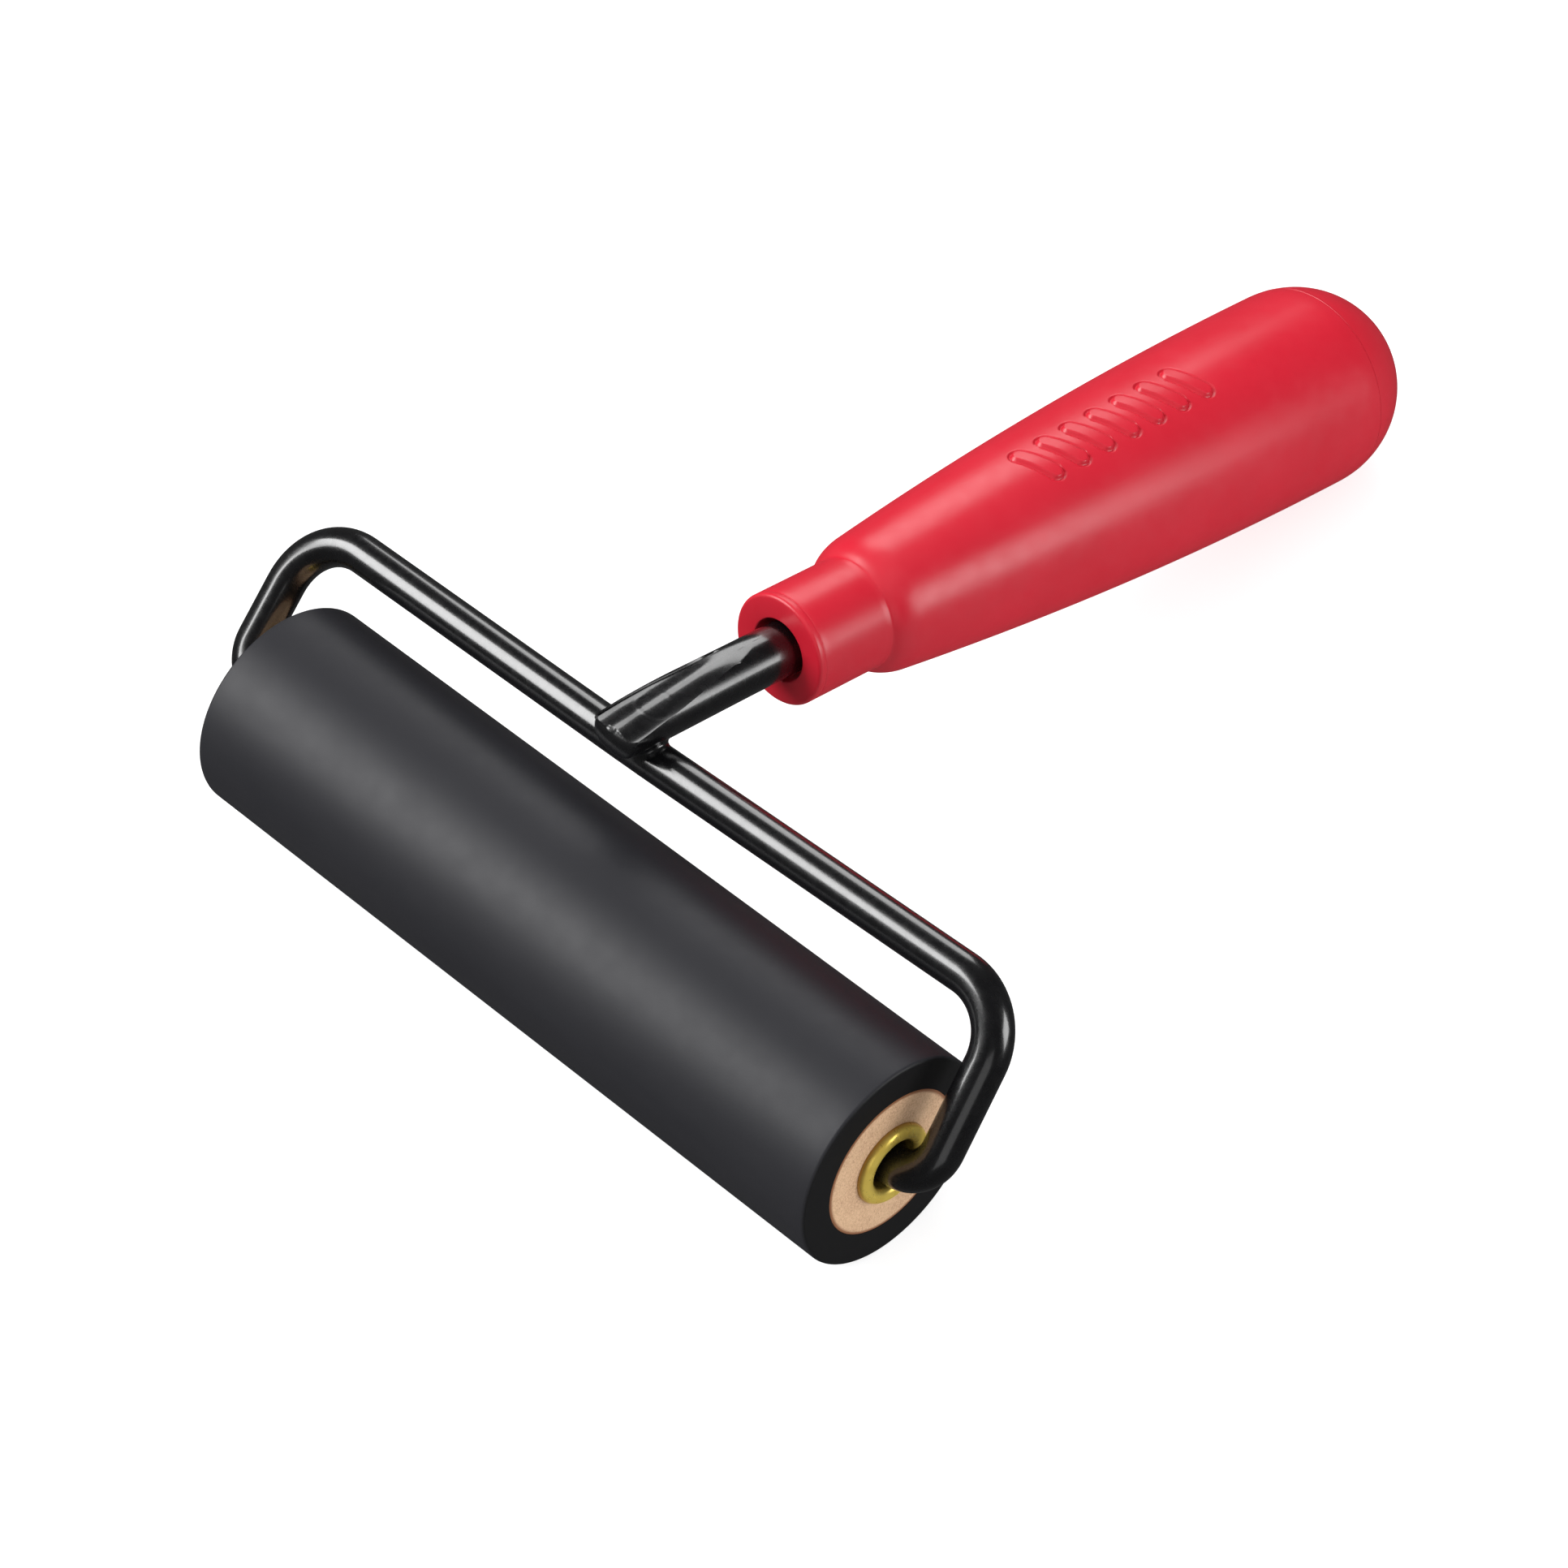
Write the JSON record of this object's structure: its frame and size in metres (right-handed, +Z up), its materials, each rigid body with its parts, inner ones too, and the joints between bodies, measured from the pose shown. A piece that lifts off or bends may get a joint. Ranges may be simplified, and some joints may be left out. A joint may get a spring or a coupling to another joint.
{
  "type": "rubber brayer",
  "caption": "Hand roller for ink: a rubber-covered wooden roller turning on brass eyelets in a bent steel frame, with a welded shank and a moulded plastic handle.",
  "frame": {"origin": "on the resting plane, under the centre of the bounding box", "axes": "+X along the roller, +Y from the roller to the handle's butt, +Z up from the surface the tool lies on"},
  "size_m": [0.1796, 0.2232, 0.0563],
  "materials": {
    "rubber": "satin",
    "wood": "raw end grain",
    "brass": "bright",
    "enamelled_steel": "gloss",
    "red_plastic": "satin"
  },
  "bodies": {
    "frame_and_handle": {"yoke_frame": "enamelled_steel", "shank": "enamelled_steel", "weld_flash": "enamelled_steel", "handle_body": "red_plastic", "handle_end_cap": "red_plastic"},
    "roller": {"roller_cover": "rubber", "roller_core": "wood", "eyelet_left": "brass", "eyelet_right": "brass"}
  },
  "joints": [
    {"name": "roller_spin", "type": "hinge", "parent": "frame_and_handle", "child": "roller", "pos_m": [0.0025, -0.09157, 0.02], "axis": [1, 0, 0], "continuous": true}
  ]
}
